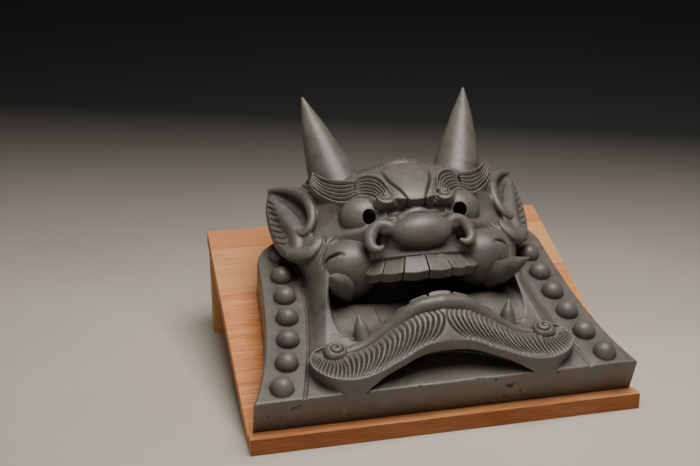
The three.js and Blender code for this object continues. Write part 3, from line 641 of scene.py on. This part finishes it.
def ears(tile):
    """Leaf-shaped ears that lean outwards, each with a rolled rim, a deep hollow and short strokes."""
    flap = lambda x, y: 36 - 0.6 * (x - 84) + 0.2 * (y - 150)
    outline = [(105.7, 206), (109.8, 193), (110.8, 181), (110.2, 166), (107.6, 149.6), (102.7, 137.5), (95.2, 128.1),
               (85, 122.6), (78.7, 125.5), (74.6, 131.5), (75.6, 137.5), (80.9, 140), (78, 153), (76.3, 165), (78.7, 177),
               (87.9, 191.3), (98, 201.1)]
    closed = curve([(*p, 0) for p in outline + outline[:1]], 90)[:-1, :2]
    back = lambda x, y: flap(x, y) - 7 - 26 * np.clip((95 - x) / 16, 0, 1) * np.clip((y - 132) / 16, 0, 1)
    tile.add(tube([(82, 140, 12), (82, 158, 16), (84, 178, 20)], [12, 14, 12], 10), 4)
    tile.add(relief(closed, flap, back, 1.7), 0.8)

    def on_flap(points, rise=0.0):
        return [(x, y, float(flap(x, y)) + rise) for x, y in points]

    tile.add(tube(on_flap([(104, 194), (100.5, 181), (96, 166), (92, 150), (93, 139)], -3.2), [3.5, 5, 6, 6, 4.5], 16), 3)
    tile.add(tube(on_flap([(99, 136), (91, 129.5), (83, 128.6), (78.6, 132.6)], -2.6), [4.5, 5.4, 5.2, 3.8], 14), 2.5)
    tile.cut(tube(on_flap([(103, 199), (96.5, 190), (89.5, 179), (85.6, 167), (86.2, 157)], 1.5), [1.8, 5.0, 6.4, 6.2, 3.4], 18), 0.6)
    rim = on_flap([(105.2, 203.5), (98, 199.5), (88.5, 190.5), (80.5, 178), (77.8, 165), (79, 153.5), (83.5, 146.5),
                   (88.5, 145.8), (90.6, 149.5)], 1.0)
    tile.add(tube(rim, [2.0, 3.0, 3.8, 4.6, 5.0, 4.8, 4.0, 3.2, 2.0], 30), 1.2)
    strokes = []
    for k in range(8):
        x, y = 102.0 - 0.5 * k, 186.5 - 5.9 * k
        reach = 3.4 + 0.55 * k
        path = [(x + reach + 3.4, y + 10.5 - 0.2 * k, -2.6), (x + reach + 0.4, y + 5.0, -0.9), (x + 0.5 * reach, y + 1.2, -0.6), (x, y, -0.6)]
        strokes.append(groove([(px, py, float(flap(px, py)) + rise) for px, py, rise in path], [0.42, 0.6, 0.5],
                              [0.7, 1.5, 1.4, 0.3], 14, (0.4, -0.3, 0.85), 4))
    tile.press(strokes)


def carve(cell):
    """Half of the tile, carved from its middle plane outwards."""
    tile = Clay(GRID_LOW, GRID_HIGH, cell)
    for part in (plate, head, hair, mouth, teeth, beard, eyes, forehead, nose, brows, horns, ears):
        part(tile)
    return tile

# Meshes


# Chips and pits in the front face and along its upper edge: across, height on the plate and radius, in mm
CHIPS = [
    (-138.4, -15.3, 0.9), (-129.4, -16.9, 0.9), (-121.5, -9.6, 1.1), (-119.2, -8.0, 1.5), (-116.0, -6.4, 1.0),
    (-97.3, -20.3, 0.9), (-64.8, -0.8, 1.3), (-24.8, -0.8, 1.2), (8.0, -0.2, 0.9), (12.0, -0.4, 1.1),
    (16.5, -0.2, 1.0), (20.5, -0.9, 1.5), (24.0, -0.6, 1.3), (28.5, -0.3, 1.0), (34.8, -2.4, 1.2),
    (45.0, -10.2, 1.3), (47.4, -11.8, 2.0), (49.6, -9.0, 1.0), (44.7, -23.3, 1.6), (57.0, -18.4, 1.2),
    (84.6, -2.7, 1.1),
]


def chip(field, low, cell):
    """Break small ragged pits out of the front face."""
    draw = np.random.default_rng(7)
    for x, h, radius in CHIPS:
        reach = radius + 2 * cell
        first = [int(max((value - reach - base) / cell, 0)) for value, base in zip((x, 0, h), low)]
        last = [int((value + reach - base) / cell) + 2 for value, base in zip((x, 0, h), low)]
        window = tuple(slice(a, b) for a, b in zip(first, last))
        part = field[window]
        px, py, ph = np.meshgrid(
            *[base + cell * (a + np.arange(count)) for base, a, count in zip(low, first, part.shape)],
            indexing="ij",
        )
        away = np.sqrt(((px - x) / 1.4) ** 2 + (py * 1.1) ** 2 + (ph - h) ** 2)
        ragged = radius * (0.85 + 0.3 * draw.random(part.shape))
        field[window] = np.maximum(part, ragged - away)


def tile_mesh(name, clay):
    """The whole tile: the carved half and its mirror image, as one mesh in the row frame."""
    field = np.concatenate([clay.d[:0:-1], clay.d], axis=0)
    low = np.array([-clay.low[0] - clay.cell * (clay.count[0] - 1), clay.low[1], clay.low[2]])
    chip(field, low, clay.cell)
    points, quads = skin(field, low, clay.cell)
    # The front face is flat, apart from its chips
    flat = np.abs(points[:, 1]) < 0.3
    points[flat, 1] = 0
    turn = Matrix.Rotation(math.radians(INCLINE), 3, "X")
    points = points * 0.001 @ np.array(turn).T + np.array(TILE_FOOT)
    mesh = bpy.data.meshes.new(name)
    mesh.vertices.add(len(points))
    mesh.vertices.foreach_set("co", points.astype(np.float32).ravel())
    mesh.loops.add(quads.size)
    mesh.loops.foreach_set("vertex_index", quads.astype(np.int32).ravel())
    mesh.polygons.add(len(quads))
    mesh.polygons.foreach_set("loop_start", np.arange(0, quads.size, 4, dtype=np.int32))
    mesh.update(calc_edges=True)
    mesh.validate()
    return mesh


def without_bubbles(mesh):
    """Delete every island of faces but the largest: the others are small bubbles sealed inside the clay."""
    left = set(mesh.verts)
    islands = []
    while left:
        island = [left.pop()]
        for vert in island:
            for edge in vert.link_edges:
                other = edge.other_vert(vert)
                if other in left:
                    left.remove(other)
                    island.append(other)
        islands.append(island)
    islands.sort(key=len)
    for island in islands[:-1]:
        bmesh.ops.delete(mesh, geom=island, context="VERTS")


def thinned(obj, triangles, longest):
    """The object's mesh with fewer triangles, kept where the surface bends, and no edge much over a length."""
    count = sum(len(p.vertices) - 2 for p in obj.data.polygons)
    if count > triangles:
        thin = obj.modifiers.new("thin", "DECIMATE")
        thin.ratio = triangles / count
        bpy.context.view_layer.update()
        ready = obj.evaluated_get(bpy.context.evaluated_depsgraph_get())
        mesh = bpy.data.meshes.new_from_object(ready)
        obj.modifiers.clear()
        obj.data = mesh
    fine = bmesh.new()
    fine.from_mesh(obj.data)
    without_bubbles(fine)
    # Slivers on the flat faces are turned into even triangles
    bmesh.ops.dissolve_degenerate(fine, dist=0.000005, edges=fine.edges)
    level = [edge for edge in fine.edges if edge.is_manifold and edge.calc_face_angle(1.0) < 0.01]
    bmesh.ops.beautify_fill(fine, faces=list({face for edge in level for face in edge.link_faces}), edges=level)
    for _ in range(6):
        edges = [edge for edge in fine.edges if edge.calc_length() > longest]
        bmesh.ops.subdivide_edges(fine, edges=edges, cuts=1)
        bmesh.ops.triangulate(fine, faces=[face for face in fine.faces if len(face.verts) > 3])
    fine.to_mesh(obj.data)
    fine.free()
    obj.data.shade_smooth()
    even = obj.modifiers.new("even", "WEIGHTED_NORMAL")
    even.weight = 50


# Materials

# The slope of the stand in radians, and the plate's face along the direction square to it, in metres
TILT = math.radians(INCLINE)
PLATE_FACE = TILE_FOOT[2] * math.cos(TILT) - TILE_FOOT[1] * math.sin(TILT)


class Nodes:
    """Short calls for building a node material."""

    def __init__(self, name):
        self.material = bpy.data.materials.new(name)
        self.material.use_nodes = True
        self.tree = self.material.node_tree
        self.tree.nodes.clear()
        self.out = self.tree.nodes.new("ShaderNodeOutputMaterial")
        self.place = self.tree.nodes.new("ShaderNodeTexCoord").outputs["Object"]

    def node(self, kind, inputs=None, **settings):
        node = self.tree.nodes.new("ShaderNode" + kind)
        for key, value in settings.items():
            setattr(node, key, value)
        for key, value in (inputs or {}).items():
            self.put(node.inputs[key], value)
        return node

    def put(self, socket, value):
        if isinstance(value, bpy.types.NodeSocket):
            self.tree.links.new(value, socket)
        else:
            socket.default_value = value

    def stretched(self, scale, turn=(0, 0, 0)):
        inputs = {"Vector": self.place, "Scale": scale, "Rotation": turn}
        return self.node("Mapping", inputs).outputs["Vector"]

    def noise(self, size, detail=4.0, roughness=0.55, vector=None, distortion=0.0):
        """Noise between 0 and 1 whose patches are about size across, in metres."""
        inputs = {"Vector": vector or self.place, "Scale": 1 / size, "Detail": detail, "Roughness": roughness,
                  "Distortion": distortion}
        return self.node("TexNoise", inputs).outputs["Fac"]

    def along(self, direction):
        """How far a point lies along a direction from the row's origin, in metres."""
        return self.node("VectorMath", {0: self.place, 1: direction}, operation="DOT_PRODUCT").outputs["Value"]

    def ramp(self, value, low, high, to_low=0.0, to_high=1.0):
        inputs = {"Value": value, "From Min": low, "From Max": high, "To Min": to_low, "To Max": to_high}
        return self.node("MapRange", inputs, clamp=True).outputs["Result"]

    def sum(self, a, b, operation="ADD"):
        return self.node("Math", {0: a, 1: b}, operation=operation).outputs["Value"]

    def mix(self, factor, a, b, blend="MIX"):
        node = self.node("Mix", data_type="RGBA", blend_type=blend)
        self.put(node.inputs["Factor"], factor)
        self.put(node.inputs[6], a)
        self.put(node.inputs[7], b)
        return node.outputs[2]

    def bump(self, height, distance, strength=1.0, normal=None):
        inputs = {"Height": height, "Distance": distance, "Strength": strength}
        if normal is not None:
            inputs["Normal"] = normal
        return self.node("Bump", inputs).outputs["Normal"]

    def finish(self, colour, roughness, normal, specular=0.5):
        inputs = {"Base Color": colour, "Roughness": roughness, "Normal": normal, "Specular IOR Level": specular}
        shader = self.node("BsdfPrincipled", inputs)
        self.tree.links.new(shader.outputs["BSDF"], self.out.inputs["Surface"])
        return self.material


def grey(value, warmth=0.0):
    """A grey with a little more red and less blue."""
    return (value * (1 + warmth), value, value * (1 - 1.6 * warmth), 1.0)


def smoked_clay():
    """Smoked grey clay: cloudy tones, soot and painted shade in the hollows, rubbed edges, a brownish bloom with a
    painted reflection of the stand's wood low down, small pits and a soft sheen.
    """
    n = Nodes("smoked_clay")
    clouds = n.noise(0.045, 5.0, 0.6)
    mottle = n.noise(0.007, 4.0, 0.65)
    grain = n.noise(0.0012, 3.0, 0.6)
    base = n.mix(n.ramp(clouds, 0.35, 0.65), grey(0.078, 0.09), grey(0.118, 0.085))
    base = n.mix(n.ramp(mottle, 0.40, 0.72, 0.0, 0.30), base, grey(0.165, 0.09))
    # Brownish bloom in patches, and a painted reflection of the wooden stand: the brown is strongest on the plate and
    # low on the sides, next to the stand
    bloom = n.sum(n.ramp(n.noise(0.03, 4.0, 0.6), 0.42, 0.68), n.ramp(mottle, 0.30, 0.60), "MULTIPLY")
    low = n.ramp(n.along((0, -math.sin(TILT), math.cos(TILT))), PLATE_FACE + 0.010, PLATE_FACE - 0.004, 0.25, 0.75)
    base = n.mix(n.sum(bloom, low, "MULTIPLY"), base, (0.150, 0.098, 0.064, 1.0))
    # Pits and pale specks
    pits = n.node("TexVoronoi", {"Vector": n.place, "Scale": 260.0, "Randomness": 1.0}).outputs["Distance"]
    sparse = n.ramp(n.noise(0.016, 2.0, 0.5), 0.60, 0.68)
    pit = n.sum(n.ramp(pits, 0.16, 0.05), sparse, "MULTIPLY")
    base = n.mix(n.sum(pit, 0.7, "MULTIPLY"), base, grey(0.025, 0.2))
    speck = n.ramp(n.noise(0.0022, 2.0, 0.5), 0.66, 0.74)
    base = n.mix(n.sum(speck, 0.22, "MULTIPLY"), base, grey(0.24, 0.10))
    # Soot and painted shade in the creases, pale rubbed edges
    bend = n.node("NewGeometry").outputs["Pointiness"]
    base = n.mix(n.ramp(bend, 0.495, 0.44, 0.0, 0.75), base, (0.022, 0.018, 0.015, 1.0))
    base = n.mix(n.ramp(bend, 0.515, 0.58, 0.0, 0.45), base, grey(0.23, 0.09))
    # Painted shade: ambient occlusion darkens the hollows, the mouth and the undersides of overhangs
    shade = n.node("AmbientOcclusion", {"Distance": 0.020}, samples=8).outputs["AO"]
    base = n.mix(n.ramp(shade, 0.90, 0.20, 0.0, 0.72), base, (0.016, 0.013, 0.011, 1.0))
    roughness = n.ramp(mottle, 0.3, 0.7, 0.36, 0.51)
    height = n.sum(n.sum(grain, 0.35, "MULTIPLY"), n.sum(mottle, 0.6, "MULTIPLY"))
    height = n.sum(height, pit, "SUBTRACT")
    return n.finish(base, roughness, n.bump(height, 0.0006, 0.6), 0.55)


def stand_wood():
    """Planed orange-brown boards: each glued plank has its own tone, with fine grain along x, and painted shade on the
    lip's front face.
    """
    n = Nodes("stand_wood")
    along = n.stretched((1.0, 9.0, 9.0))
    fine = n.stretched((1.0, 26.0, 26.0))
    slope = n.along((0, math.cos(TILT), math.sin(TILT)))
    bands = n.noise(0.16, 5.0, 0.62, along, 0.8)
    streaks = n.noise(0.03, 4.0, 0.7, fine)
    wood = n.mix(n.ramp(bands, 0.3, 0.7), (0.66, 0.215, 0.076, 1.0), (0.92, 0.435, 0.185, 1.0))
    wood = n.mix(n.ramp(streaks, 0.42, 0.70, 0.0, 0.7), wood, (0.20, 0.060, 0.022, 1.0))
    for edge, tone, amount in ((0.056, (0.66, 0.36, 0.160, 1.0), 0.55), (0.116, (0.50, 0.16, 0.060, 1.0), 0.5)):
        wood = n.mix(n.ramp(slope, edge - 0.0004, edge + 0.0004, 0.0, amount), wood, tone)
    for edge in PLANK_JOINTS:
        gap = n.node("Math", {0: n.sum(slope, edge, "SUBTRACT")}, operation="ABSOLUTE").outputs["Value"]
        wood = n.mix(n.ramp(gap, 0.0005, 0.0001, 0.0, 0.5), wood, (0.16, 0.06, 0.025, 1.0))
    pores = n.noise(0.010, 3.0, 0.6, fine)
    # Painted shade: the lip's front face is darker than its top
    front = n.ramp(n.along((0, 1, 0)), LIP_FRONT + 0.0010, LIP_FRONT + 0.0004, 0.0, 0.68)
    wood = n.mix(front, wood, (0.15, 0.044, 0.015, 1.0))
    roughness = n.ramp(bands, 0.3, 0.7, 0.52, 0.66)
    return n.finish(wood, roughness, n.bump(n.sum(pores, streaks), 0.0004, 0.4), 0.10)


def studio_floor():
    """A pale warm grey studio sheet that falls into shadow towards the back."""
    n = Nodes("studio_floor")
    tone = n.mix(n.ramp(n.noise(0.25, 3.0, 0.5), 0.3, 0.7), grey(0.47, 0.09), grey(0.53, 0.09))
    tone = n.mix(n.ramp(n.along((0.42, 0.91, 0.0)), 0.05, 0.80), tone, grey(0.045, 0.02))
    return n.finish(tone, 0.7, n.bump(n.noise(0.002, 2.0), 0.0002, 0.2), 0.2)


# Plank joints, measured up the slope from the row's origin, in metres
PLANK_JOINTS = (0.116, 0.056, -0.056)

# The front face of the stand's lip
LIP_FRONT = -0.1212

# The piece that stands for the tile
clay_material = smoked_clay()
tile = bpy.data.objects.new("onigawara", tile_mesh("onigawara", carve(CELL)))
bpy.context.scene.collection.objects.link(tile)
thinned(tile, TRIANGLES, LONGEST_EDGE)
tile.data.materials.append(clay_material)
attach(tile, "root")
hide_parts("tile")

# The stand's CAD boards, with softened edges
wood_material = stand_wood()
for node, radius in (("stand_board", 0.0008), ("stand_lip", 0.0022), ("stand_support", 0.0008)):
    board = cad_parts[node]
    soften = board.modifiers.new("soften", "BEVEL")
    soften.width = radius
    soften.segments = 3
    soften.limit_method = "ANGLE"
    for slot in board.material_slots:
        slot.material = wood_material

# Floor
floor_mesh = bpy.data.meshes.new("floor")
floor_mesh.from_pydata([(-3, -2, 0), (3, -2, 0), (3, 3, 0), (-3, 3, 0)], [], [(0, 1, 2, 3)])
floor = bpy.data.objects.new("floor", floor_mesh)
floor_mesh.materials.append(studio_floor())
bpy.context.scene.collection.objects.link(floor)

# Camera, placed as the photograph was taken
camera = bpy.data.objects.new("camera", bpy.data.cameras.new("camera"))
bpy.context.scene.collection.objects.link(camera)
right = Vector((0.973911, -0.226834, -0.006579))
down = Vector((-0.083827, -0.332668, -0.939311))
ahead = Vector((0.210880, 0.915357, -0.343004))
view = Matrix((right, -down, -ahead)).transposed().to_4x4()
view.translation = (-0.25042, -0.86921, 0.44712)
camera.matrix_world = view
camera.data.lens = 60.58
camera.data.sensor_width = 36.0
bpy.context.scene.camera = camera


def area_light(name, place, target, width, depth, power, colour):
    light = bpy.data.lights.new(name, "AREA")
    light.shape = "RECTANGLE"
    light.size = width
    light.size_y = depth
    light.energy = power
    light.color = colour
    lamp = bpy.data.objects.new(name, light)
    lamp.location = place
    lamp.rotation_euler = (Vector(target) - Vector(place)).to_track_quat("-Z", "Y").to_euler()
    bpy.context.scene.collection.objects.link(lamp)


# A large soft light overhead and a weaker one from the front left
area_light("overhead", (0.08, -0.20, 1.0), (0, 0, 0.08), 0.70, 0.6, 13.3, (1.0, 0.97, 0.92))
area_light("front", (-0.5, -1.5, 0.6), (0, 0, 0.1), 0.8, 0.8, 1.9, (1.0, 0.98, 0.96))
world = bpy.data.worlds.new("studio")
world.use_nodes = True
world.node_tree.nodes["Background"].inputs["Color"].default_value = (0.80, 0.79, 0.77, 1.0)
world.node_tree.nodes["Background"].inputs["Strength"].default_value = 0.07
bpy.context.scene.world = world
